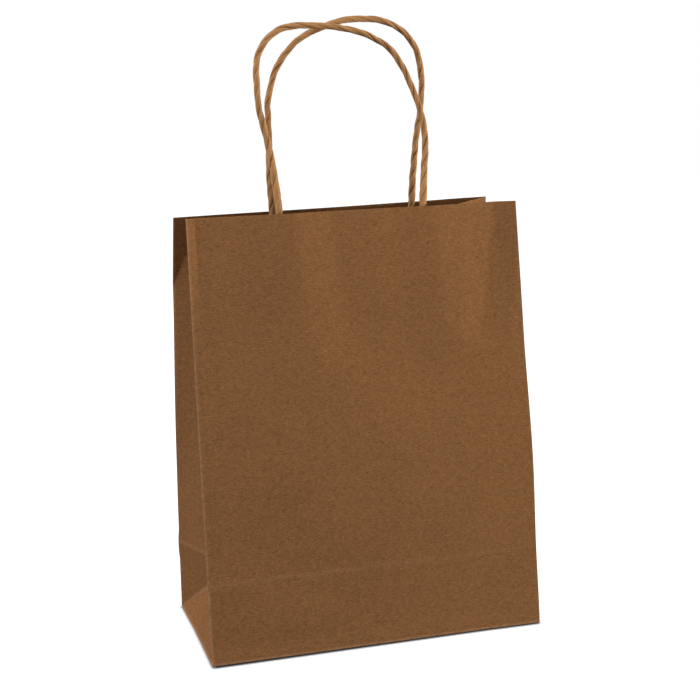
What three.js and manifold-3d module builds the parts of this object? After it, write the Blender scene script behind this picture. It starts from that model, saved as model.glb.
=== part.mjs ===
// Kraft paper carrier bag with two twisted paper cord handles, standing open.
// Millimetres, +Z up, origin under the middle of the base, front panel towards -Y.
import * as THREE from "three";
import Module from "manifold-3d";

const wasm = await Module();
wasm.setup();

// The sheet the bag is folded from
const WIDTH = 210;
const DEPTH = 110;
const HEIGHT = 270;
const PAPER = 0.2;
// The mouth is drawn in a little by the waves of the panels
const MOUTH_WIDTH = 207.6;
// How far each upright edge leans towards the middle of the bag, in degrees
const FRONT_LEAN = { left: 5.05, right: 5.55 };
const BACK_LEAN = { left: 9.6, right: 7.25 };
// Height of the crease that lets the bag be stored flat, measured along the paper
const FOLD_HEIGHT = 50;

// The glued block bottom and the glued back seam
const FLAP_LAP = 18;
const FLAP_INSET = 0.4;
const SEAM_WIDTH = 16;
const SEAM_FROM_EDGE = 14;
const SEAM_STEP = 0.4;

// Handles of twisted paper cord, each glued between two plies of paper
const CORD = 4.2;
const CORD_GROOVE = 0.3;
const CORD_PITCH = 32;
const CORD_STEP = 3.6;
// Each loop's centre line from its left leg to its right leg, as seen from outside its panel:
// distance to the right of the panel's middle, then height over the rim
const FRONT_LOOP = [
  [-47.9, 0],
  [-49.4, 22],
  [-51.9, 43],
  [-54.8, 55],
  [-56.6, 74],
  [-55.7, 90.5],
  [-51.5, 100],
  [-44.5, 106.2],
  [-34, 110],
  [-18, 110.2],
  [0, 108],
  [14.5, 103.8],
  [28, 95.5],
  [35, 86],
  [41.5, 71.5],
  [46, 57],
  [48, 43],
  [46.5, 24],
  [43.7, 0],
];
const BACK_LOOP = [
  [-50.5, 0],
  [-51.3, 22],
  [-53.9, 48],
  [-56.2, 66],
  [-55.4, 85.5],
  [-51, 98.5],
  [-43, 108.2],
  [-31, 114.4],
  [-15, 116.5],
  [0, 115.4],
  [12, 111.9],
  [24, 107.5],
  [34, 99.5],
  [41, 88],
  [45.2, 71],
  [45.6, 57],
  [45, 45],
  [45.1, 26],
  [43.4, 0],
];

// The plies that hold the ends of a handle
const PLY_LENGTH = 142;
const PLY_HEIGHT = 42;
const PLY_BELOW_RIM = 3.5;
const PLY_MARGIN = 4;
const LEG_LENGTH = PLY_BELOW_RIM + PLY_HEIGHT - PLY_MARGIN;
const GLUE_GAP = 0.3;
const CHANNEL_TOP = 1.9;
const CHANNEL_FOOT = 4.6;

// Mesh divisions
const PANEL_ROWS = 8;
const LOW_ROWS = 3;

const paper = (name, color) => new THREE.MeshStandardMaterial({ name, color, roughness: 0.85 });
const kraft = paper("kraft_paper", 0x8a5f3d);
const cordPaper = paper("twisted_paper_cord", 0xb08050);

const rad = THREE.MathUtils.degToRad;
const vec = (x, y, z) => new THREE.Vector3(x, y, z);
const mix = (a, b, t) => a.clone().lerp(b, t);

// Corners of the folded sheet, on the middle of the paper
const floor = 1.5 * PAPER;
const corner = (sideX, sideY) => vec((sideX * WIDTH) / 2, (sideY * DEPTH) / 2, floor);
const rimCorner = (sideX, sideY, lean) =>
  vec(
    (sideX * MOUTH_WIDTH) / 2,
    sideY * (DEPTH / 2 - HEIGHT * Math.sin(rad(lean))),
    floor + HEIGHT * Math.cos(rad(lean)),
  );

// A point at three known distances from three others, on the side that faces inwards
function trilaterate(p1, r1, p2, r2, p3, r3, inward) {
  const ex = p2.clone().sub(p1);
  const d = ex.length();
  ex.divideScalar(d);
  const to3 = p3.clone().sub(p1);
  const i = ex.dot(to3);
  const ey = to3.clone().addScaledVector(ex, -i).normalize();
  const j = ey.dot(to3);
  const ez = ex.clone().cross(ey);
  const x = (r1 * r1 - r2 * r2 + d * d) / (2 * d);
  const y = (r1 * r1 - r3 * r3 + i * i + j * j - 2 * i * x) / (2 * j);
  const z = Math.sqrt(Math.max(0, r1 * r1 - x * x - y * y));
  const middle = p1.clone().addScaledVector(ex, x).addScaledVector(ey, y);
  const a = middle.clone().addScaledVector(ez, z);
  const b = middle.clone().addScaledVector(ez, -z);
  return (a.x - b.x) * inward > 0 ? a : b;
}

// One side gusset: its paper keeps its width, so it folds in as the mouth closes
function gusset(sideX, frontLean, backLean) {
  const front = corner(sideX, -1);
  const back = corner(sideX, 1);
  const frontRim = rimCorner(sideX, -1, frontLean);
  const backRim = rimCorner(sideX, 1, backLean);
  const frontFold = mix(front, frontRim, FOLD_HEIGHT / HEIGHT);
  const backFold = mix(back, backRim, FOLD_HEIGHT / HEIGHT);
  const half = DEPTH / 2;
  const middle = mix(front, back, 0.5);
  const apex = trilaterate(frontFold, half, backFold, half, middle, FOLD_HEIGHT, -sideX);
  const crest = trilaterate(frontRim, half, backRim, half, apex, HEIGHT - FOLD_HEIGHT, -sideX);
  return { front, back, frontRim, backRim, frontFold, backFold, apex, crest };
}
const left = gusset(-1, FRONT_LEAN.left, BACK_LEAN.left);
const right = gusset(1, FRONT_LEAN.right, BACK_LEAN.right);

// Divisions across the front and back panels, with extra lines at the back seam
const even = (n) => Array.from({ length: n + 1 }, (_, i) => i / n);
const seamEdges = [SEAM_FROM_EDGE, SEAM_FROM_EDGE + SEAM_WIDTH].map((s) => s / WIDTH);
const seamStep = SEAM_STEP / WIDTH;
const seamLines = seamEdges.flatMap((u) => [u - seamStep / 2, u + seamStep / 2]);
const across = [...even(6), ...seamLines].sort((a, b) => a - b);
const inSeam = (u) => u > seamEdges[0] && u < seamEdges[1];
const rows = even(PANEL_ROWS);
const lowRows = even(LOW_ROWS);

// Flat pieces of the sheet as triangles, all facing out
const triangles = [];
const doubled = new Set();
const keyOf = (p) => [p.x, p.y, p.z].map((v) => Math.round(v * 1000)).join(",");

function quadPatch(p00, p10, p11, p01, us, vs, seam) {
  const at = (u, v) => mix(mix(p00, p10, u), mix(p01, p11, u), v);
  for (let i = 0; i < us.length - 1; i++)
    for (let j = 0; j < vs.length - 1; j++) {
      const a = at(us[i], vs[j]);
      const b = at(us[i + 1], vs[j]);
      const c = at(us[i + 1], vs[j + 1]);
      const d = at(us[i], vs[j + 1]);
      triangles.push([a, b, c], [a, c, d]);
    }
  if (seam) us.filter(inSeam).forEach((u) => vs.forEach((v) => doubled.add(keyOf(at(u, v)))));
}

function triPatch(a, b, c, n) {
  const at = (i, j) => mix(mix(a, b, i / n), mix(a, c, i / n), i ? j / i : 0);
  for (let i = 0; i < n; i++)
    for (let j = 0; j <= i; j++) {
      triangles.push([at(i, j), at(i + 1, j), at(i + 1, j + 1)]);
      if (j < i) triangles.push([at(i, j), at(i + 1, j + 1), at(i, j + 1)]);
    }
}

// Front panel, then back panel, each with its storage crease
quadPatch(left.front, right.front, right.frontFold, left.frontFold, across, lowRows);
quadPatch(left.frontFold, right.frontFold, right.frontRim, left.frontRim, across, rows);
quadPatch(right.back, left.back, left.backFold, right.backFold, across, lowRows, true);
quadPatch(right.backFold, left.backFold, left.backRim, right.backRim, across, rows, true);
// Left gusset: foot triangle, two corner triangles and the two halves of the V fold
triPatch(left.apex, left.back, left.front, LOW_ROWS);
triPatch(left.front, left.frontFold, left.apex, LOW_ROWS);
triPatch(left.back, left.apex, left.backFold, LOW_ROWS);
quadPatch(left.apex, left.frontFold, left.frontRim, left.crest, lowRows, rows);
quadPatch(left.backFold, left.apex, left.crest, left.backRim, lowRows, rows);
// Right gusset, the same pieces the other way round
triPatch(right.apex, right.front, right.back, LOW_ROWS);
triPatch(right.front, right.apex, right.frontFold, LOW_ROWS);
triPatch(right.back, right.backFold, right.apex, LOW_ROWS);
quadPatch(right.frontFold, right.apex, right.crest, right.frontRim, lowRows, rows);
quadPatch(right.apex, right.backFold, right.backRim, right.crest, lowRows, rows);

// A sheet of triangles given a thickness, with mitred folds and a closed rim
function thicken(sheet, inner, outer, isDoubled = () => false) {
  const ids = new Map();
  const points = [];
  const faces = sheet.map((t) =>
    t.map((p) => {
      const k = keyOf(p);
      if (!ids.has(k)) {
        ids.set(k, points.length);
        points.push(p.clone());
      }
      return ids.get(k);
    }),
  );
  const sums = points.map(() => ({ m: new Array(9).fill(0), b: vec(0, 0, 0) }));
  for (const f of faces) {
    const [a, b, c] = f.map((i) => points[i]);
    const n = b.clone().sub(a).cross(c.clone().sub(a)).normalize();
    const e = [n.x, n.y, n.z];
    for (const i of f) {
      for (let r = 0; r < 3; r++) for (let s = 0; s < 3; s++) sums[i].m[3 * r + s] += e[r] * e[s];
      sums[i].b.add(n);
    }
  }
  // The offset that moves every flat round a corner out by one unit, as nearly as one vector can
  const offsets = sums.map(({ m, b }) => {
    for (const i of [0, 4, 8]) m[i] += 0.002;
    return b.applyMatrix3(new THREE.Matrix3().set(...m).invert());
  });
  const extra = (p) => (isDoubled(p) ? PAPER : 0);
  const out = points.map((p, i) => p.clone().addScaledVector(offsets[i], outer + extra(p)));
  const within = points.map((p, i) => p.clone().addScaledVector(offsets[i], inner));
  const edges = new Map();
  for (const f of faces)
    for (let i = 0; i < 3; i++) edges.set(f[i] + "_" + f[(i + 1) % 3], [f[i], f[(i + 1) % 3]]);
  const soup = [];
  for (const [i, j, k] of faces) {
    soup.push(out[i], out[j], out[k]);
    soup.push(within[i], within[k], within[j]);
  }
  for (const [i, j] of edges.values())
    if (!edges.has(j + "_" + i)) soup.push(out[i], within[i], within[j], out[i], within[j], out[j]);
  return soup;
}

// Triangles to a solid, a solid to a geometry
function solidOf(soup) {
  const ids = new Map();
  const coords = [];
  const index = soup.map((p) => {
    const k = keyOf(p);
    if (!ids.has(k)) {
      ids.set(k, ids.size);
      coords.push(p.x, p.y, p.z);
    }
    return ids.get(k);
  });
  const made = [];
  for (let i = 0; i < index.length; i += 3) {
    const [a, b, c] = index.slice(i, i + 3);
    if (a !== b && b !== c && c !== a) made.push(a, b, c);
  }
  return new wasm.Manifold(
    new wasm.Mesh({
      numProp: 3,
      vertProperties: new Float32Array(coords),
      triVerts: new Uint32Array(made),
    }),
  );
}

function geometryOf(solid) {
  const m = solid.getMesh();
  const coords = new Float32Array(m.numVert * 3);
  for (let i = 0; i < m.numVert; i++)
    coords.set(m.vertProperties.subarray(i * m.numProp, i * m.numProp + 3), i * 3);
  const g = new THREE.BufferGeometry();
  g.setAttribute("position", new THREE.BufferAttribute(coords, 3));
  g.setIndex(new THREE.BufferAttribute(new Uint32Array(m.triVerts), 1));
  return g;
}

function plate(outline, bottom, top) {
  const shape = new THREE.Shape(outline.map(([x, y]) => new THREE.Vector2(x, y)));
  const g = new THREE.ExtrudeGeometry(shape, { depth: top - bottom, bevelEnabled: false });
  g.translate(0, 0, bottom);
  const p = g.index ? g.toNonIndexed().attributes.position : g.attributes.position;
  return solidOf(Array.from({ length: p.count }, (_, i) => vec().fromBufferAttribute(p, i)));
}

const group = new THREE.Group();
group.name = "paper_carrier_bag";
function add(name, geometry, material) {
  geometry.computeVertexNormals();
  const mesh = new THREE.Mesh(geometry, material);
  mesh.name = name;
  group.add(mesh);
}

// Bag body: folded walls, base layer, then the two glued flaps under the base
const walls = solidOf(thicken(triangles, -PAPER / 2, PAPER / 2, (p) => doubled.has(keyOf(p))));
const halfW = WIDTH / 2 - FLAP_INSET;
const halfD = DEPTH / 2 - FLAP_INSET;
const flap = (sideY, grow) => {
  const end = -sideY * (FLAP_LAP / 2 + grow);
  const reach = halfD + FLAP_LAP / 2;
  const tip = halfW - reach + grow;
  return [
    [-halfW - grow, sideY * halfD],
    [halfW + grow, sideY * halfD],
    [tip, end],
    [-tip, end],
  ];
};
const turn = (outline, sideY) => (sideY > 0 ? [...outline].reverse() : outline);
const base = plate(
  [
    [-WIDTH / 2, -DEPTH / 2],
    [WIDTH / 2, -DEPTH / 2],
    [WIDTH / 2, DEPTH / 2],
    [-WIDTH / 2, DEPTH / 2],
  ],
  PAPER,
  2 * PAPER,
);
const backFlap = plate(turn(flap(1, 0), 1), 0, 1.5 * PAPER);
const backFlapRoom = plate(turn(flap(1, GLUE_GAP), 1), -PAPER, PAPER);
const frontFlap = plate(turn(flap(-1, 0), -1), 0, 1.5 * PAPER).subtract(backFlapRoom);
const body = walls.add(base).add(backFlap).add(frontFlap);
add("bag_body", geometryOf(body), kraft);

// A place on a panel: s to the right as seen from outside, h up the paper, off into the bag
const panels = {
  front: [left.front, right.front, left.frontRim, right.frontRim],
  back: [right.back, left.back, right.backRim, left.backRim],
};
function onPanel(side, s, h, off) {
  const [p00, p10, p01, p11] = panels[side];
  const u = 0.5 + s / WIDTH;
  const v = h / HEIGHT;
  const at = mix(mix(p00, p10, u), mix(p01, p11, u), v);
  const du = mix(p10.clone().sub(p00), p11.clone().sub(p01), v);
  const dv = mix(p01.clone().sub(p00), p11.clone().sub(p10), u);
  const inwards = dv.cross(du).normalize();
  return at.addScaledVector(inwards, off);
}

// How far the cord and its two plies stand off the middle of the panel
const backingOff = PAPER + GLUE_GAP;
const cordOff = backingOff + PAPER / 2 + GLUE_GAP + CORD / 2;
const coverOff = backingOff + PAPER + GLUE_GAP;
const coverTopOff = cordOff + CORD / 2 + GLUE_GAP + PAPER / 2;
const legsOf = (loop) => [loop[0][0], loop[loop.length - 1][0]];
const middleOf = (loop) => (legsOf(loop)[0] + legsOf(loop)[1]) / 2;

// A ply glued inside a panel: stations across it, each with its own stand-off
function ply(side, stations) {
  const top = HEIGHT - PLY_BELOW_RIM;
  const heights = even(3).map((v) => top - PLY_HEIGHT + v * PLY_HEIGHT);
  const sheet = [];
  for (let i = 0; i < stations.length - 1; i++)
    for (let j = 0; j < heights.length - 1; j++) {
      const at = (k, m) => onPanel(side, stations[k][0], heights[m], stations[k][1]);
      const [a, b, c, d] = [at(i, j), at(i + 1, j), at(i + 1, j + 1), at(i, j + 1)];
      sheet.push([a, b, c], [a, c, d]);
    }
  return geometryOf(solidOf(thicken(sheet, -PAPER / 2, PAPER / 2)));
}
const plyEnds = (loop) => [middleOf(loop) - PLY_LENGTH / 2, middleOf(loop) + PLY_LENGTH / 2];
const backingStations = (loop) => even(6).map((u) => [plyEnds(loop)[0] + u * PLY_LENGTH, backingOff]);
// The cover ply lies flat and rises over each cord leg in a channel
const channel = (s) => [
  [s - CHANNEL_FOOT, coverOff],
  [s - CHANNEL_TOP, coverTopOff],
  [s + CHANNEL_TOP, coverTopOff],
  [s + CHANNEL_FOOT, coverOff],
];
const coverStations = (loop) => [
  [plyEnds(loop)[0], coverOff],
  ...channel(legsOf(loop)[0]),
  [middleOf(loop), coverOff],
  ...channel(legsOf(loop)[1]),
  [plyEnds(loop)[1], coverOff],
];

// A handle: its two glued legs and its loop in one centre line, then the three-lobed cord along it
function handle(side, loop) {
  const [l, r] = legsOf(loop);
  const foot = HEIGHT - LEG_LENGTH;
  const line = [
    [l, foot],
    [l, foot + LEG_LENGTH / 2],
    ...loop.map(([s, rise]) => [s, HEIGHT + rise]),
    [r, foot + LEG_LENGTH / 2],
    [r, foot],
  ].map(([s, h]) => onPanel(side, s, h, cordOff));
  const curve = new THREE.CatmullRomCurve3(line, false, "centripetal");
  const length = curve.getLength();
  const steps = Math.round(length / CORD_STEP);
  const frames = curve.computeFrenetFrames(steps, false);
  const sides = 9;
  const rings = even(steps).map((t, i) => {
    const at = curve.getPointAt(t);
    const spin = (2 * Math.PI * length * t) / CORD_PITCH;
    return Array.from({ length: sides }, (_, k) => {
      const angle = (2 * Math.PI * k) / sides + spin;
      const radius = CORD / 2 - (k % 3 ? 0 : CORD_GROOVE);
      return at
        .clone()
        .addScaledVector(frames.normals[i], radius * Math.cos(angle))
        .addScaledVector(frames.binormals[i], radius * Math.sin(angle));
    });
  });
  const soup = [];
  for (let i = 0; i < steps; i++)
    for (let k = 0; k < sides; k++) {
      const k1 = (k + 1) % sides;
      const [a, b, c, d] = [rings[i][k], rings[i][k1], rings[i + 1][k1], rings[i + 1][k]];
      soup.push(a, b, c, a, c, d);
    }
  const ends = [curve.getPointAt(0), curve.getPointAt(1)];
  for (let k = 0; k < sides; k++) {
    const k1 = (k + 1) % sides;
    soup.push(ends[0], rings[0][k1], rings[0][k]);
    soup.push(ends[1], rings[steps][k], rings[steps][k1]);
  }
  return geometryOf(solidOf(soup));
}

for (const [side, loop] of [
  ["front", FRONT_LOOP],
  ["back", BACK_LOOP],
]) {
  add(side + "_handle", handle(side, loop), cordPaper);
  add(side + "_handle_backing", ply(side, backingStations(loop)), kraft);
  add(side + "_handle_cover", ply(side, coverStations(loop)), kraft);
}

export default group;
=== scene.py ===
import math
from types import SimpleNamespace

import bmesh
import bpy
from mathutils import Matrix, Vector, geometry, kdtree, noise


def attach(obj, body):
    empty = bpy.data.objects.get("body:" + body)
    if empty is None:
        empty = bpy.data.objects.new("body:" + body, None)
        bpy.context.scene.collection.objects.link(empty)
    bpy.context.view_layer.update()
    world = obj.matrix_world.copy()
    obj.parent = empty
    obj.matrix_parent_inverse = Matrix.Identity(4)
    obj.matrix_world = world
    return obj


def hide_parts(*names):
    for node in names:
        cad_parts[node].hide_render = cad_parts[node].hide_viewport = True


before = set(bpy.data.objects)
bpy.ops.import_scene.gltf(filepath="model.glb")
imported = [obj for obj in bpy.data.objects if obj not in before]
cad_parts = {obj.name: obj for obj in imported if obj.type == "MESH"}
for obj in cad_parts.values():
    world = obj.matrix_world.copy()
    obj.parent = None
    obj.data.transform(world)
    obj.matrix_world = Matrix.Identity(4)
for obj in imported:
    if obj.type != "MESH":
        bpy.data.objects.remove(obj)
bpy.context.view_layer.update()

# Bag sheet
# One sheet of brown kraft paper, folded into a tube with side gussets that tuck in. Its bottom
# is folded flat and glued, and a crease round the foot lets the empty bag be stored flat.
PAPER = 0.0002
WIDTH = 0.210
DEPTH = 0.110
HEIGHT = 0.270
MOUTH_WIDTH = 0.2076
FLOOR = 1.5 * PAPER
FOLD_HEIGHT = 0.050
LEAN = {"front left": 5.05, "front right": 5.55, "back left": 9.6, "back right": 7.25}
# The glued handle strip stiffens the back panel, which bends out along the strip's lower edge.
# The corner over the bend folds in along a crease that meets the rim this far from the corner
BEND_HEIGHT = 0.225
BEND_OUT = {"left": 0.0080, "right": 0.0}
CORNER = 0.010
FOLD_ROUND = 0.0006
FOLD_ANGLE = math.radians(14)
SIDES = {"left": -1, "right": 1}
FACES = {"front": -1, "back": 1}
# Divisions across a panel, up a panel, and along the short folds of a gusset. The ones across a
# panel draw together towards its sides
ACROSS = 96
UP = 84
SHORT = 24
CROWD = 0.5


def foot_corner(face, side):
    return Vector((SIDES[side] * WIDTH / 2, FACES[face] * DEPTH / 2, FLOOR))


def rim_corner(face, side):
    lean = math.radians(LEAN[face + " " + side])
    y = FACES[face] * (DEPTH / 2 - HEIGHT * math.sin(lean))
    return Vector((SIDES[side] * MOUTH_WIDTH / 2, y, FLOOR + HEIGHT * math.cos(lean)))


def meet(a, b, reach, third, third_reach, inward):
    """The point at one distance from a and b and another from a third point, on the inward side"""
    axis = (b - a).normalized()
    middle = (a + b) / 2
    ring = math.sqrt(reach**2 - ((b - a).length / 2) ** 2)
    lift = (third - middle).dot(axis)
    across = third - axis * lift - middle
    far = math.sqrt(third_reach**2 - lift**2)
    step = (ring**2 - far**2 + across.length_squared) / (2 * across.length)
    rise = math.sqrt(max(ring**2 - step**2, 0))
    aside = axis.cross(across.normalized()) * rise
    base = middle + across.normalized() * step
    return base + aside if aside.x * inward > 0 else base - aside


def gusset(side):
    """The fold points of one side of the bag. The gusset's paper keeps its width as it tucks in"""
    g = SimpleNamespace(front=foot_corner("front", side), back=foot_corner("back", side))
    g.front_rim = rim_corner("front", side)
    g.back_rim = rim_corner("back", side)
    g.front_fold = g.front.lerp(g.front_rim, FOLD_HEIGHT / HEIGHT)
    g.back_fold = g.back.lerp(g.back_rim, FOLD_HEIGHT / HEIGHT)
    g.back_bend = g.back.lerp(g.back_rim, BEND_HEIGHT / HEIGHT) + Vector((0, BEND_OUT[side], 0))
    inward = -SIDES[side]
    half = DEPTH / 2
    g.apex = meet(g.front_fold, g.back_fold, half, g.front.lerp(g.back, 0.5), FOLD_HEIGHT, inward)
    back_top = g.back_fold.lerp(g.back_bend, (HEIGHT - FOLD_HEIGHT) / (BEND_HEIGHT - FOLD_HEIGHT))
    g.crest = meet(g.front_rim, back_top, half, g.apex, HEIGHT - FOLD_HEIGHT, inward)
    g.notch = back_top.lerp(g.crest, CORNER / half)
    return g


left = gusset("left")
right = gusset("right")


def on_panel(face, s, h, inward=0.0):
    """A place on the front or back panel: s to the right as seen from outside, h up the paper"""
    a, b = (left, right) if face == "front" else (right, left)
    low = getattr(a, face).lerp(getattr(b, face), 0.5 + s / WIDTH)
    high = getattr(a, face + "_rim").lerp(getattr(b, face + "_rim"), 0.5 + s / WIDTH)
    place = low.lerp(high, h / HEIGHT)
    lean = math.radians((LEAN[face + " left"] + LEAN[face + " right"]) / 2)
    place.y -= FACES[face] * inward * math.cos(lean)
    place.z -= inward * math.sin(lean)
    if face == "back":
        under_bend = (h - FOLD_HEIGHT) / (BEND_HEIGHT - FOLD_HEIGHT)
        over_bend = (HEIGHT - h) / (HEIGHT - BEND_HEIGHT)
        bend = max(min(under_bend, over_bend), 0)
        place.y += BEND_OUT["left"] * bend * (0.5 + s / WIDTH)
    return place


def unit(share):
    return min(max(share, 0), 1)


# The marks that use has left in the paper
marks = []


def mark(start, end, reach, push, fade=1.0, crisp=False):
    """Pushes the paper within reach of a line. fade is the share of the push left at the line's
    end, and a crisp mark has straight flanks instead of rounded ones"""
    marks.append((start, end, reach, Vector(push), fade, crisp))


def pressed(place):
    """Where the marks move a place on the bag"""
    moved = place.copy()
    for start, end, reach, push, fade, crisp in marks:
        span = end - start
        along = unit((place - start).dot(span) / max(span.length_squared, 1e-12))
        near = 1 - (place - start.lerp(end, along)).length / reach
        if near > 0:
            share = near if crisp else (near * (2 - near)) ** 2
            moved += push * share * (1 + (fade - 1) * along)
    return moved


EDGE = WIDTH / 2
# The cord legs behind the front panel raise a ridge beside each leg, with a valley to its right.
# Each is a place on the rim, the place of its lower end, its reach and how far it goes in
RIDGES = (
    (-0.040, -0.036, 0.043, -0.0026),
    (-0.018, -0.008, 0.023, 0.0019),
    (0.050, 0.053, 0.025, -0.0021),
    (0.0915, 0.079, 0.017, 0.0019),
)
RIDGE_FOOT = 0.195
for s, low, reach, inward in RIDGES:
    ends = (on_panel("front", s, HEIGHT), on_panel("front", low, RIDGE_FOOT))
    mark(*ends, reach, (0, inward, 0), fade=0.65, crisp=True)
# The maker's press has flattened the side folds. They spring forward, most of all at the mouth,
# and a shallow valley runs beside the left one
SIDE_FOLDS = (
    (-EDGE, 0.0055, -0.0017, 0.1),
    (-0.0995, 0.016, 0.0009, 0.2),
    (EDGE, 0.0135, -0.0013, 0.2),
)
SPRING_FOOT = 0.19
for s, reach, inward, fade in SIDE_FOLDS:
    ends = (on_panel("front", s, HEIGHT), on_panel("front", s, SPRING_FOOT))
    mark(*ends, reach, (0, inward, 0), fade, crisp=True)
# The right edge bows out, most of all low down, and its foot stands a little wide
mark(on_panel("front", EDGE, 0.13), on_panel("front", EDGE, 0.15), 0.13, (0.0018, 0, 0))
mark(on_panel("front", EDGE, 0.045), on_panel("front", EDGE, 0.09), 0.10, (0.0021, 0, 0))
mark(right.front, right.front, 0.06, (0.0010, 0, 0))
# The left back edge bows out too
mark(on_panel("back", EDGE, 0.0), on_panel("back", EDGE, HEIGHT), 0.05, (-0.0009, 0, 0))
mark(on_panel("back", EDGE, 0.08), on_panel("back", EDGE, 0.12), 0.10, (-0.0010, 0, 0))
# The middle of the back rim leans forward
rim_middle = on_panel("back", 0.0, HEIGHT)
mark(rim_middle, rim_middle, 0.10, (0, -0.0022, 0))
# The bottom fold rides up off the floor along the front and juts out a little
mark(left.front, right.front, 0.012, (0, -0.0005, 0.0012), 0.6)
mark(right.front, right.front, 0.04, (0, -0.0008, 0))
# The storage crease stands out as a fine ridge, and the left back edge jogs there
CREASE_RIDGE = 0.00006
for face, outward in FACES.items():
    ends = (on_panel(face, -EDGE, FOLD_HEIGHT), on_panel(face, EDGE, FOLD_HEIGHT))
    mark(*ends, 0.006, (0, outward * CREASE_RIDGE, 0), crisp=True)
mark(on_panel("back", EDGE, 0.046), on_panel("back", EDGE, 0.048), 0.012, (-0.0006, 0, 0))
# The back loop's left shoulder slumps
shoulder = on_panel("back", 0.034, HEIGHT + 0.1)
mark(shoulder, shoulder, 0.03, (0.0008, 0, -0.0008))
# Broad slack in the front and back panels
mark(on_panel("front", -0.02, 0.13), on_panel("front", 0.03, 0.10), 0.09, (0, -0.0018, 0))
mark(on_panel("back", -0.02, 0.15), on_panel("back", 0.02, 0.10), 0.09, (0, 0.0016, 0))

sheet = bmesh.new()


def quad(a, b, c, d, columns, rows, crowd=0.0):
    """A grid of paper between four corners. crowd draws its columns together towards both sides"""
    made = bmesh.ops.create_grid(sheet, x_segments=columns, y_segments=rows, size=0.5)
    for v in made["verts"]:
        u = v.co.x + 0.5 + crowd * math.sin(2 * math.pi * v.co.x) / (2 * math.pi)
        w = v.co.y + 0.5
        v.co = a.lerp(b, u).lerp(d.lerp(c, u), w)


def triangle(a, b, c):
    face = sheet.faces.new([sheet.verts.new(p) for p in (a, b, c)])
    bmesh.ops.subdivide_edges(sheet, edges=face.edges, cuts=SHORT - 1, use_grid_fill=True)


# Front and back panels and the base
quad(left.front, right.front, right.front_fold, left.front_fold, ACROSS, SHORT, CROWD)
quad(left.front_fold, right.front_fold, right.front_rim, left.front_rim, ACROSS, UP, CROWD)
quad(right.back, left.back, left.back_fold, right.back_fold, ACROSS, SHORT, CROWD)
quad(right.back_fold, left.back_fold, left.back_bend, right.back_bend, ACROSS, UP, CROWD)
quad(right.back_bend, left.back_bend, left.back_rim, right.back_rim, ACROSS, SHORT, CROWD)
quad(left.back, right.back, right.front, left.front, ACROSS, SHORT, CROWD)
# Left gusset, then the right one the other way round
triangle(left.apex, left.back, left.front)
triangle(left.front, left.front_fold, left.apex)
triangle(left.back, left.apex, left.back_fold)
triangle(left.back_bend, left.notch, left.back_rim)
triangle(left.back_bend, left.crest, left.notch)
quad(left.apex, left.front_fold, left.front_rim, left.crest, SHORT, UP)
quad(left.back_fold, left.apex, left.crest, left.back_bend, SHORT, UP)
triangle(right.apex, right.front, right.back)
triangle(right.front, right.apex, right.front_fold)
triangle(right.back, right.back_fold, right.apex)
triangle(right.back_bend, right.back_rim, right.notch)
triangle(right.back_bend, right.notch, right.crest)
quad(right.front_fold, right.apex, right.crest, right.front_rim, SHORT, UP)
quad(right.apex, right.back_fold, right.back_bend, right.crest, SHORT, UP)
JOIN_GAP = 0.00002
bmesh.ops.remove_doubles(sheet, verts=sheet.verts, dist=JOIN_GAP)

# Where the folds run and how worn each is, for their scuffed fibres and a painted highlight along
# them, and to keep cockle away. The storage crease on the front is fainter towards the right
fainter = left.front_fold.lerp(right.front_fold, 0.65)
fold_lines = [
    (left.front_fold, fainter, 0.18),
    (fainter, right.front_fold, 0.08),
    (left.back_fold, right.back_fold, 0.12),
    (left.front, right.front, 1),
    (left.back, right.back, 1),
]
# The right front fold gets less of the pale tone, worn fibre and painted highlight alike
for g, front_wear_and_sheen in ((left, 1), (right, 0.2)):
    fold_lines += [
        (g.front, g.front_rim, front_wear_and_sheen),
        (g.back, g.back_bend, 0.8),
        (g.back_bend, g.back_rim, 0.8),
        (g.front, g.back, 1),
        (g.apex, g.crest, 0.45),
        (g.apex, g.front, 0.35),
        (g.apex, g.back, 0.35),
        (g.apex, g.front_fold, 0.35),
        (g.apex, g.back_fold, 0.35),
        (g.back_bend, g.notch, 0),
    ]
FOLD_STEPS = 150
fold_wear_and_sheen = []
folds = kdtree.KDTree(len(fold_lines) * FOLD_STEPS)
for a, b, wear_and_sheen_share in fold_lines:
    for i in range(FOLD_STEPS):
        folds.insert(pressed(a.lerp(b, i / (FOLD_STEPS - 1))), len(fold_wear_and_sheen))
        fold_wear_and_sheen.append(wear_and_sheen_share)
folds.balance()

# Press in the marks, then let the paper cockle a little away from its folds
COCKLE = 0.00028
COCKLE_SIZE = 0.045
CALM = 0.020
for v in sheet.verts:
    v.co = pressed(v.co)
sheet.normal_update()
for v in sheet.verts:
    calm = min(folds.find(v.co)[2] / CALM, 1)
    lift = min(v.co.z / CALM, 1)
    v.co += v.normal * COCKLE * calm * lift * noise.noise(v.co / COCKLE_SIZE)
sharp = [e for e in sheet.edges if len(e.link_faces) == 2 and e.calc_face_angle() > FOLD_ANGLE]
bmesh.ops.bevel(
    sheet, geom=sharp, affect="EDGES", offset=FOLD_ROUND, offset_type="OFFSET", segments=2,
    profile=0.5, material=-1, clamp_overlap=True,
)

# The glued lap that closes the tube, on the outside of the back panel
SEAM_WIDTH = 0.016
SEAM_FROM_EDGE = 0.014
SEAM_RISE = PAPER * 1.25
SEAM_COLUMNS = 6
SEAM_ROWS = 90
lap = bmesh.ops.create_grid(sheet, x_segments=SEAM_COLUMNS, y_segments=SEAM_ROWS, size=0.5)
for v in lap["verts"]:
    s = -EDGE + SEAM_FROM_EDGE + (v.co.x + 0.5) * SEAM_WIDTH
    v.co = pressed(on_panel("back", s, (v.co.y + 0.5) * HEIGHT, -SEAM_RISE))

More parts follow.
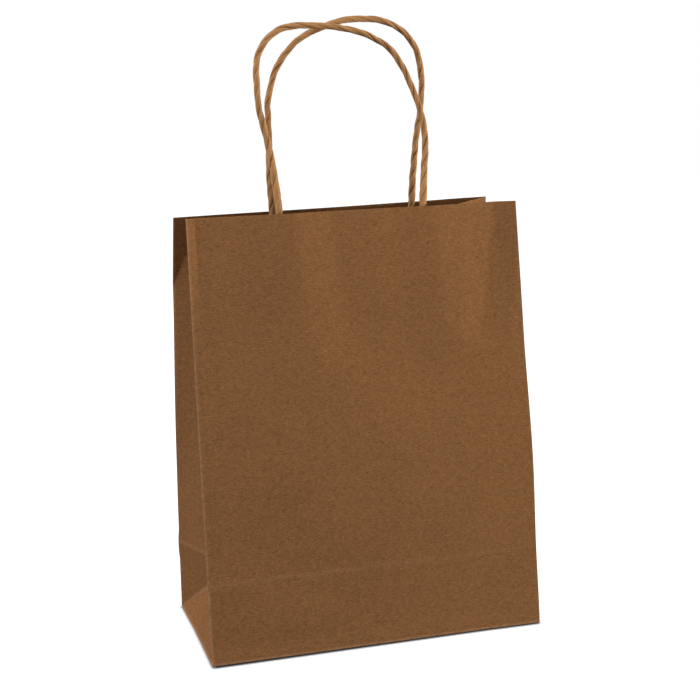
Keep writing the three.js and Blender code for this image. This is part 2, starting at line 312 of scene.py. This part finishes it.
# The two glued flaps under the base, with mitred ends; the back one laps past the middle
FLAP_LAP = 0.018
FLAP_INSET = 0.0004
FLAP_GAP = 0.0003
FLAP_COLUMNS = 40
FLAP_ROWS = 24
half_width = WIDTH / 2 - FLAP_INSET
half_depth = DEPTH / 2 - FLAP_INSET
reach_back = half_depth + FLAP_LAP / 2
reach_front = half_depth - FLAP_LAP / 2 - FLAP_GAP
for y, reach in ((half_depth, reach_back), (-half_depth, reach_front)):
    flap = bmesh.ops.create_grid(sheet, x_segments=FLAP_COLUMNS, y_segments=FLAP_ROWS, size=0.5)
    for v in flap["verts"]:
        depth = (0.5 - v.co.y if y > 0 else v.co.y + 0.5) * reach
        x = 2 * v.co.x * (half_width - depth)
        v.co = pressed(Vector((x, y - math.copysign(depth, y), PAPER / 2)))
    for f in {f for v in flap["verts"] for f in v.link_faces}:
        f.normal_flip()

# Scuffed fibre and a painted highlight show about this far from a worn fold
WEAR_AND_SHEEN_REACH = 0.0009
wear_and_sheen = sheet.verts.layers.float.new("wear_and_sheen")
for v in sheet.verts:
    place, index, distance = folds.find(v.co)
    v[wear_and_sheen] = fold_wear_and_sheen[index] * math.exp(-((distance / WEAR_AND_SHEEN_REACH) ** 2))
for f in sheet.faces:
    f.smooth = True


def piece(name, mesh, material, slot, *nodes):
    """Makes an object of a bmesh, riding on the bag in place of its plain solid"""
    data = bpy.data.meshes.new(name)
    mesh.to_mesh(data)
    mesh.free()
    data.materials.append(material)
    made = bpy.data.objects.new(name, data)
    bpy.context.scene.collection.objects.link(made)
    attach(made, "root")
    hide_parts(*nodes)
    return made


def thicken(sheet_piece):
    wall = sheet_piece.modifiers.new("paper", "SOLIDIFY")
    wall.thickness = PAPER
    wall.offset = 0
    # The flat faces keep their own shading right up to the folds
    sheet_piece.modifiers.new("crisp_folds", "WEIGHTED_NORMAL")


def node(tree, kind, sockets=None, **settings):
    """Adds a shader node. A socket is given a value or another node's output"""
    made = tree.nodes.new("ShaderNode" + kind)
    for name, value in settings.items():
        setattr(made, name, value)
    for name, value in (sockets or {}).items():
        if isinstance(value, bpy.types.NodeSocket):
            tree.links.new(value, made.inputs[name])
        else:
            made.inputs[name].default_value = value
    return made


def maths(tree, operation, a, b):
    return node(tree, "Math", {0: a, 1: b}, operation=operation).outputs[0]


# How far each layer of fibre swings the colour, then the height of the surface
CLOUD_TONE = 0.16
MOTTLE_TONE = 0.50
GRAIN_TONE = 0.98
FIBRE_TONE = 0.55
MOTTLE_HEIGHT = 0.8
GRAIN_HEIGHT = 0.5
FIBRE_HEIGHT = 0.6
# The short fibres lie level. Each layer turns its own pattern, so that the two differ
FIBRE_TURNS = (0.6, -0.9)
FIBRE_SCALE = (420, 420, 1900)
SPECK_TONE = 0.62
SPECK_THRESHOLD = 0.45
WARM_TINT = (1.02, 0.995, 0.975, 1)
COOL_TINT = (0.98, 1.005, 1.025, 1)
# What worn fibre adds to the paper's colour along a fold, with a painted highlight there too
WORN_FIBRE_AND_SHEEN = (0.115, 0.075, 0.046)


def kraft_fibre_group():
    """Brown kraft fibre: soft clouds, mottle, two layers of short fibres, dark specks, and a pale
    tone on folds for wear and painted highlight
    """
    tree = bpy.data.node_groups.new("kraft_fibre", "ShaderNodeTree")
    tree.interface.new_socket("Place", in_out="INPUT", socket_type="NodeSocketVector")
    tree.interface.new_socket("Paper", in_out="INPUT", socket_type="NodeSocketColor")
    for name in ("Wear And Sheen", "Grain", "Speck Size"):
        tree.interface.new_socket(name, in_out="INPUT", socket_type="NodeSocketFloat")
    tree.interface.new_socket("Colour", in_out="OUTPUT", socket_type="NodeSocketColor")
    for name in ("Roughness", "Height"):
        tree.interface.new_socket(name, in_out="OUTPUT", socket_type="NodeSocketFloat")
    given = tree.nodes.new("NodeGroupInput").outputs
    place = given["Place"]

    def swing(texture, amount):
        centred = maths(tree, "SUBTRACT", texture.outputs["Fac"], 0.5)
        return maths(tree, "MULTIPLY", centred, amount)

    clouds = node(tree, "TexNoise", {"Vector": place, "Scale": 22.0, "Detail": 2.0})
    mottle = node(tree, "TexNoise", {"Vector": place, "Scale": 380.0, "Detail": 4.0})
    mottle.inputs["Roughness"].default_value = 0.62
    grain = node(tree, "TexNoise", {"Vector": place, "Scale": 1500.0, "Detail": 2.0})
    value = maths(tree, "ADD", swing(clouds, CLOUD_TONE), swing(mottle, MOTTLE_TONE))
    value = maths(tree, "ADD", value, swing(grain, GRAIN_TONE))
    height = maths(tree, "ADD", swing(mottle, MOTTLE_HEIGHT), swing(grain, GRAIN_HEIGHT))
    for turn in FIBRE_TURNS:
        lie = node(tree, "Mapping", {"Vector": place, "Scale": FIBRE_SCALE})
        lie.inputs["Rotation"].default_value = (turn, turn, turn)
        fibre = node(tree, "TexNoise", {"Vector": lie.outputs[0], "Scale": 1.0, "Detail": 1.0})
        value = maths(tree, "ADD", value, swing(fibre, FIBRE_TONE))
        height = maths(tree, "ADD", height, swing(fibre, FIBRE_HEIGHT))
    value = maths(tree, "ADD", maths(tree, "MULTIPLY", value, given["Grain"]), 1.0)
    specks = node(tree, "TexVoronoi", {"Vector": place, "Scale": 110.0})
    chosen = node(tree, "SeparateColor", {"Color": specks.outputs["Color"]})
    spot = maths(tree, "SUBTRACT", chosen.outputs[0], SPECK_THRESHOLD)
    spot = maths(tree, "MULTIPLY", spot, given["Speck Size"])
    spot = maths(tree, "MAXIMUM", spot, 0.001)
    dark = node(tree, "MapRange", {"Value": specks.outputs["Distance"], "From Max": spot})
    dark.inputs["From Min"].default_value = 0.0
    dark.inputs["To Min"].default_value = SPECK_TONE
    dark.inputs["To Max"].default_value = 1.0
    value = maths(tree, "MULTIPLY", value, dark.outputs[0])
    warm = node(tree, "TexNoise", {"Vector": place, "Scale": 150.0, "Detail": 2.0})
    hue = node(tree, "Mix", {0: warm.outputs["Fac"], 6: WARM_TINT, 7: COOL_TINT}, data_type="RGBA")
    tinted = node(tree, "VectorMath", {0: given["Paper"], 1: hue.outputs[2]}, operation="MULTIPLY")
    shaded = node(tree, "VectorMath", {0: tinted.outputs[0], "Scale": value}, operation="SCALE")
    # Along the folds a pale tone is added, partly worn fibre and partly painted highlight
    pale = node(tree, "VectorMath", {0: WORN_FIBRE_AND_SHEEN, "Scale": given["Wear And Sheen"]}, operation="SCALE")
    shaded = node(tree, "VectorMath", {0: shaded.outputs[0], 1: pale.outputs[0]}, operation="ADD")
    rough = maths(tree, "ADD", swing(mottle, 0.20), 0.90)
    out = tree.nodes.new("NodeGroupOutput")
    tree.links.new(shaded.outputs[0], out.inputs["Colour"])
    tree.links.new(rough, out.inputs["Roughness"])
    tree.links.new(height, out.inputs["Height"])
    return tree


kraft_fibre = kraft_fibre_group()
KRAFT = (0.190, 0.0868, 0.0332, 1)


def kraft_material():
    made = bpy.data.materials.new("kraft_paper")
    made.use_nodes = True
    tree = made.node_tree
    shader = tree.nodes["Principled BSDF"]
    shader.inputs["Specular IOR Level"].default_value = 0.0
    where = node(tree, "TexCoord")
    # The folds' pale tone: worn fibre together with a painted highlight
    wear_and_sheen_attribute = node(tree, "Attribute", attribute_name="wear_and_sheen")
    fibre = node(tree, "Group", node_tree=kraft_fibre)
    tree.links.new(where.outputs["Object"], fibre.inputs["Place"])
    tree.links.new(wear_and_sheen_attribute.outputs["Fac"], fibre.inputs["Wear And Sheen"])
    fibre.inputs["Paper"].default_value = KRAFT
    fibre.inputs["Grain"].default_value = 1.0
    fibre.inputs["Speck Size"].default_value = 0.12
    bump = node(tree, "Bump", {"Height": fibre.outputs["Height"], "Strength": 0.3})
    bump.inputs["Distance"].default_value = 0.00015
    tree.links.new(fibre.outputs["Colour"], shader.inputs["Base Color"])
    tree.links.new(fibre.outputs["Roughness"], shader.inputs["Roughness"])
    tree.links.new(bump.outputs[0], shader.inputs["Normal"])
    return made


kraft_paper = kraft_material()
bag_sheet = piece("bag_sheet", sheet, kraft_paper, "kraft_paper", "bag_body")
thicken(bag_sheet)

# Handle backings
# A strip of the same kraft paper is glued inside each panel, just under the rim. The ends of
# the handle cord are glued down on it.
STRIP_LENGTH = 0.142
STRIP_HEIGHT = 0.042
STRIP_TOP = HEIGHT - 0.0035
STRIP_COLUMNS = 142
STRIP_ROWS = 14
GLUE = 0.0003
BACKING_OFF = PAPER + GLUE
# Where the two legs of each cord run, to the right of the panel's middle as seen from outside
LEGS = {"front": (-0.0479, 0.0437), "back": (-0.0505, 0.0434)}


def strip(face, rise):
    """A paper strip inside a panel. rise gives its stand-off from the panel across its length"""
    made = bmesh.new()
    layer = made.verts.layers.float.new("wear_and_sheen")
    grid = bmesh.ops.create_grid(made, x_segments=STRIP_COLUMNS, y_segments=STRIP_ROWS, size=0.5)
    for v in grid["verts"]:
        s = sum(LEGS[face]) / 2 + v.co.x * STRIP_LENGTH
        h = STRIP_TOP + (v.co.y - 0.5) * STRIP_HEIGHT
        v[layer] = 0.0
        v.co = pressed(on_panel(face, s, h, rise(face, s)))
    for f in made.faces:
        f.smooth = True
        f.normal_flip()
    return made


for face in FACES:
    mesh = strip(face, lambda *place: BACKING_OFF)
    solid_name = face + "_handle_backing"
    backing = piece(face + "_backing_strip", mesh, kraft_paper, "kraft_paper", solid_name)
    thicken(backing)

# Handle cords
# Each handle is a strip of kraft paper twisted hard into a cord of three strands, bent into a
# loop. Its two legs are glued between the backing and the cover inside the mouth.
CORD = 0.0042
CORD_PITCH = 0.032
CORD_STEP = 0.0008
CORD_SIDES = 60
LEG_LENGTH = 0.0415
CORD_OFF = BACKING_OFF + PAPER / 2 + GLUE + CORD / 2
# Each loop from its left leg to its right leg, as seen from outside its panel: distance to the
# right of the panel's middle, then height over the rim
LOOPS = {
    "front": [
        (-0.0479, 0),
        (-0.0494, 0.022),
        (-0.0519, 0.043),
        (-0.0548, 0.055),
        (-0.0566, 0.074),
        (-0.0557, 0.0905),
        (-0.0515, 0.100),
        (-0.0445, 0.1062),
        (-0.034, 0.110),
        (-0.018, 0.1102),
        (0, 0.108),
        (0.0145, 0.1038),
        (0.028, 0.0955),
        (0.035, 0.086),
        (0.0415, 0.0715),
        (0.046, 0.057),
        (0.048, 0.043),
        (0.0465, 0.024),
        (0.0437, 0),
    ],
    "back": [
        (-0.0505, 0),
        (-0.0513, 0.022),
        (-0.0539, 0.048),
        (-0.0562, 0.066),
        (-0.0554, 0.0855),
        (-0.051, 0.0985),
        (-0.043, 0.1082),
        (-0.031, 0.1144),
        (-0.015, 0.1165),
        (0, 0.1154),
        (0.012, 0.1119),
        (0.024, 0.1075),
        (0.034, 0.0995),
        (0.041, 0.088),
        (0.0452, 0.071),
        (0.0456, 0.057),
        (0.045, 0.045),
        (0.0451, 0.026),
        (0.0434, 0),
    ],
}


def loop_route(face):
    """The cord's centre line, as places on its panel carried on above the rim"""
    start, end = LEGS[face]
    foot = HEIGHT - LEG_LENGTH
    bend = HEIGHT - LEG_LENGTH / 2
    loop = [(s, HEIGHT + rise) for s, rise in LOOPS[face]]
    return [(start, foot), (start, bend), *loop, (end, bend), (end, foot)]


CURVE_STEPS = 60


def smooth_line(points, step):
    """Even steps along a centripetal curve through the points"""
    ends = [2 * points[0] - points[1], *points, 2 * points[-1] - points[-2]]
    line = []
    for p0, p1, p2, p3 in zip(ends, ends[1:], ends[2:], ends[3:]):
        a = (p1 - p0).length ** 0.5
        b = (p2 - p1).length ** 0.5
        c = (p3 - p2).length ** 0.5
        leave = ((p1 - p0) / a - (p2 - p0) / (a + b) + (p2 - p1) / b) * b
        enter = ((p2 - p1) / b - (p3 - p1) / (b + c) + (p3 - p2) / c) * b
        handles = (p1 + leave / 3, p2 - enter / 3)
        line += geometry.interpolate_bezier(p1, *handles, p2, CURVE_STEPS)[:-1]
    line.append(points[-1])
    even = [line[0]]
    carried = 0.0
    for a, b in zip(line, line[1:]):
        gap = (b - a).length
        while carried + gap >= step:
            a = a.lerp(b, (step - carried) / gap)
            even.append(a)
            gap = (b - a).length
            carried = 0.0
        carried += gap
    return even


# How the twisted paper creases: each of its three strands slopes down to an edge, where the next
# one steps up over it. Some edges stand open and some are shut.
STRANDS = 3
STEP = 0.26
FLAT = 0.08
FULL = 1.05
DRIFT = 0.07
SWELL = 0.09
DENT = 0.06
OPEN_MIDDLE = 0.75
OPEN_SWING = 0.9
OPEN_LEAST = 0.3
# How fast the strands' drift, the swelling and the dents change along the cord, per metre
DRIFT_RATE = 40
SWELL_RATE = 60
DENT_RATE = 150


def cord_shape(turn, along, seed):
    """Radius share and painted crease shade, at a share of a turn round and metres along the cord
    """
    angle = 2 * math.pi * turn
    spot = Vector((math.cos(angle) + seed, math.sin(angle), along * DRIFT_RATE))
    strand = (STRANDS * (turn + DRIFT * noise.noise(spot))) % 1.0
    open_edge = min(max(OPEN_MIDDLE + OPEN_SWING * noise.noise(spot * 0.7), OPEN_LEAST), 1)
    swell = SWELL * noise.noise(Vector((seed, 3, along * SWELL_RATE)))
    dent = DENT * noise.noise(Vector((spot.x * 1.5, spot.y * 1.5, along * DENT_RATE)))
    radius = FULL + swell + dent - FLAT * (2 * strand - 1) ** 2 - STEP * open_edge * strand**3
    # The second value is painted shade, darkest on the low side next to an open edge
    return radius, open_edge * strand**4


# Over the rim the cord swells out, then draws tight, each within a height and by a share
LOOSE = 0.12
LOOSE_RISE = 0.006
TIGHT = 0.22
TIGHT_RISE = 0.045
# The free cord wavers by this much, at this rate per metre, in full from this height over the rim.
# The seed keeps the waver the same on every run
WAVER = 0.0004
WAVER_RATE = 80
WAVER_RISE = 0.02
WAVER_SEED = 1
noise.seed_set(WAVER_SEED)
CORD_JOIN_GAP = 0.000001


def looseness(rise):
    """The cord is loose where it leaves the strips and twisted tight towards the crown"""
    return 1 + LOOSE * unit(rise / LOOSE_RISE) - TIGHT * unit(rise / TIGHT_RISE)


def twisted_cord(face, seed):
    route = [pressed(on_panel(face, s, h, CORD_OFF)) for s, h in loop_route(face)]
    line = smooth_line(route, CORD_STEP)
    last = len(line) - 1
    rim = on_panel(face, 0, HEIGHT).z
    for i, p in enumerate(line):
        free = unit((p.z - rim) / WAVER_RISE)
        spot = Vector((seed, 0, i * CORD_STEP * WAVER_RATE))
        line[i] = p + WAVER * free * noise.noise_vector(spot)
    heading = []
    for i in range(last + 1):
        heading.append((line[min(i + 1, last)] - line[max(i - 1, 0)]).normalized())
    side = [heading[0].orthogonal().normalized()]
    for i in range(last):
        side.append(heading[i].rotation_difference(heading[i + 1]) @ side[i])
    made = bmesh.new()
    made.loops.layers.uv.new("along_and_round")
    crease_shade = made.verts.layers.float.new("crease_shade")
    grid = bmesh.ops.create_grid(
        made, x_segments=last, y_segments=CORD_SIDES, size=0.5, calc_uvs=True,
    )
    for v in grid["verts"]:
        i = round((v.co.x + 0.5) * last)
        turn = v.co.y + 0.5
        share, v[crease_shade] = cord_shape(turn, i * CORD_STEP, seed)
        angle = 2 * math.pi * (turn + i * CORD_STEP / CORD_PITCH)
        across = heading[i].cross(side[i])
        radius = CORD / 2 * share * looseness(line[i].z - rim)
        v.co = line[i] + radius * (side[i] * math.cos(angle) + across * math.sin(angle))
    bmesh.ops.remove_doubles(made, verts=made.verts, dist=CORD_JOIN_GAP)
    rims = [e for e in made.edges if e.is_boundary]
    bmesh.ops.holes_fill(made, edges=rims, sides=0)
    bmesh.ops.recalc_face_normals(made, faces=made.faces)
    for f in made.faces:
        f.smooth = len(f.verts) == 4
    return made, last * CORD_STEP


CORD_PAPER = (0.336, 0.167, 0.0625, 1)
# The colour of the shade painted into the creases between strands
CREASE_SHADE_TINT = (0.20, 0.13, 0.09, 1)
STREAK_DARK = 0.80
STREAK_LIGHT = 1.18


def cord_material(length):
    """Twisted kraft paper: streaks with the twist, and shade painted in the creases between strands
    """
    made = bpy.data.materials.new("twisted_paper_cord")
    made.use_nodes = True
    tree = made.node_tree
    shader = tree.nodes["Principled BSDF"]
    shader.inputs["Specular IOR Level"].default_value = 0.15
    where = node(tree, "TexCoord")
    crease = node(tree, "Attribute", attribute_name="crease_shade")
    fibre = node(tree, "Group", node_tree=kraft_fibre)
    tree.links.new(where.outputs["Object"], fibre.inputs["Place"])
    fibre.inputs["Paper"].default_value = CORD_PAPER
    fibre.inputs["Grain"].default_value = 0.35
    fibre.inputs["Speck Size"].default_value = 0.0
    lie = node(tree, "Mapping", {"Vector": where.outputs["UV"], "Scale": (length * 45, 20, 1)})
    streaks = node(tree, "TexNoise", {"Vector": lie.outputs[0], "Scale": 1.0, "Detail": 3.0})
    streaks.inputs["Roughness"].default_value = 0.6
    streak = streaks.outputs["Fac"]
    lit = node(tree, "MapRange", {"Value": streak, "From Min": 0.3, "From Max": 0.7})
    lit.inputs["To Min"].default_value = STREAK_DARK
    lit.inputs["To Max"].default_value = STREAK_LIGHT
    # Painted shade in the creases
    tints = {0: crease.outputs["Fac"], 6: (1, 1, 1, 1), 7: CREASE_SHADE_TINT}
    shade = node(tree, "Mix", tints, data_type="RGBA").outputs[2]
    streaked = node(tree, "VectorMath", {0: shade, "Scale": lit.outputs[0]}, operation="SCALE")
    layers = {0: fibre.outputs["Colour"], 1: streaked.outputs[0]}
    colour = node(tree, "VectorMath", layers, operation="MULTIPLY")
    height = maths(tree, "ADD", fibre.outputs["Height"], streak)
    bump = node(tree, "Bump", {"Height": height, "Strength": 0.5, "Distance": 0.0003})
    tree.links.new(colour.outputs[0], shader.inputs["Base Color"])
    tree.links.new(fibre.outputs["Roughness"], shader.inputs["Roughness"])
    tree.links.new(bump.outputs[0], shader.inputs["Normal"])
    return made


for face, seed in (("front", 2.3), ("back", 9.1)):
    cord, cord_length = twisted_cord(face, seed)
    if face == "front":
        cord_paper = cord_material(cord_length)
    piece(face + "_cord", cord, cord_paper, "twisted_paper_cord", face + "_handle")

# Handle covers
# A second strip is glued over the cord legs. It lies flat on the backing and stands up in a
# channel over each leg.
COVER_OFF = BACKING_OFF + PAPER + GLUE
COVER_TOP = CORD_OFF + CORD / 2 + GLUE + PAPER / 2
CHANNEL_TOP = 0.0019
CHANNEL_FOOT = 0.0052


def cover_rise(face, s):
    gap = min(abs(s - leg) for leg in LEGS[face])
    t = unit((CHANNEL_FOOT - gap) / (CHANNEL_FOOT - CHANNEL_TOP))
    return COVER_OFF + (COVER_TOP - COVER_OFF) * t * t * (3 - 2 * t)


for face in FACES:
    mesh = strip(face, cover_rise)
    cover = piece(face + "_cover_strip", mesh, kraft_paper, "kraft_paper", face + "_handle_cover")
    thicken(cover)

# Studio
# A pale floor that shows white to the camera, with a tight shadow painted into its glow near
# the bag. The main lamp stands on the right at the bag's own height, with weaker ones on the
# left, in front, behind and above, and the surround is white.
FLOOR_RADIUS = 4
floor = bmesh.new()
bmesh.ops.create_circle(floor, cap_ends=True, segments=96, radius=FLOOR_RADIUS)
floor_data = bpy.data.meshes.new("floor")
floor.to_mesh(floor_data)
floor.free()
floor_piece = bpy.data.objects.new("floor", floor_data)
bpy.context.scene.collection.objects.link(floor_piece)
FLOOR_GREY = 0.25
FLOOR_GLOW = 1.0
SHADOW_REACH = 0.003
SHADOW_DEPTH = 3.5


def seen_directly(tree):
    """1 for what the camera sees, also in gloss or through glass, and 0 for light on the bag"""
    path = node(tree, "LightPath").outputs
    through = maths(tree, "MAXIMUM", path["Is Glossy Ray"], path["Is Transmission Ray"])
    return maths(tree, "MAXIMUM", path["Is Camera Ray"], through)


def floor_material():
    made = bpy.data.materials.new("studio_floor")
    made.use_nodes = True
    tree = made.node_tree
    shader = tree.nodes["Principled BSDF"]
    shader.inputs["Base Color"].default_value = (FLOOR_GREY, FLOOR_GREY, FLOOR_GREY, 1)
    shader.inputs["Roughness"].default_value = 0.9
    shader.inputs["Specular IOR Level"].default_value = 0.0
    shader.inputs["Emission Color"].default_value = (1, 1, 1, 1)
    # Painted shadow: the glow the camera sees darkens where the floor is occluded near the bag
    occlusion_shade = node(tree, "AmbientOcclusion", {"Distance": SHADOW_REACH})
    glow = maths(tree, "POWER", occlusion_shade.outputs["AO"], SHADOW_DEPTH)
    glow = maths(tree, "MULTIPLY", glow, FLOOR_GLOW)
    glow = maths(tree, "MULTIPLY", seen_directly(tree), glow)
    tree.links.new(glow, shader.inputs["Emission Strength"])
    return made


floor_data.materials.append(floor_material())

world = bpy.data.worlds.new("studio")
world.use_nodes = True
bpy.context.scene.world = world
SURROUND = 0.31
surround = world.node_tree
seen = seen_directly(surround)
strength = node(surround, "MapRange", {"Value": seen, "To Min": SURROUND, "To Max": 1.0})
backdrop = surround.nodes["Background"]
backdrop.inputs["Color"].default_value = (1, 1, 1, 1)
surround.links.new(strength.outputs[0], backdrop.inputs["Strength"])

BAG_MIDDLE = Vector((0, 0, 0.17))


def lamp(name, place, size, power, colour=(1, 1, 1)):
    data = bpy.data.lights.new(name, "AREA")
    data.shape = "DISK"
    data.size = size
    data.energy = power
    data.color = colour
    made = bpy.data.objects.new(name, data)
    made.location = place
    made.rotation_euler = (BAG_MIDDLE - Vector(place)).to_track_quat("-Z", "Y").to_euler()
    bpy.context.scene.collection.objects.link(made)


lamp("key_lamp", (1.45, -0.443, 0.13), 0.2, 30.5)
lamp("fill_lamp", (-1.6, -0.19, 1.1), 0.95, 31.0, (0.97, 1.0, 1.12))
lamp("front_lamp", (0.1, -0.42, 0.78), 0.4, 1.6)
lamp("back_lamp", (-0.4, 1.5, 0.2), 0.8, 15.0)
lamp("top_lamp", (0, -0.45, 3.0), 0.25, 26.0)

# Camera
# It stands left of the middle and a little above the rim, looking down on the bag.
CAMERA_PLACE = (-0.2351, -0.8543, 0.3466)
CAMERA_YAW = math.radians(-15.52)
CAMERA_PITCH = math.radians(10.81)
CAMERA_ROLL = math.radians(-1.75)
CAMERA_LENS = 73.0
CAMERA_SENSOR = 36.0
camera_data = bpy.data.cameras.new("camera")
camera_data.lens = CAMERA_LENS
camera_data.sensor_width = CAMERA_SENSOR
camera = bpy.data.objects.new("camera", camera_data)
turn = Matrix.Rotation(CAMERA_YAW, 4, "Z") @ Matrix.Rotation(math.pi / 2 - CAMERA_PITCH, 4, "X")
camera.matrix_world = Matrix.Translation(CAMERA_PLACE) @ turn @ Matrix.Rotation(CAMERA_ROLL, 4, "Z")
bpy.context.scene.collection.objects.link(camera)
bpy.context.scene.camera = camera
bpy.context.scene.view_settings.view_transform = "Standard"

bpy.context.view_layer.update()
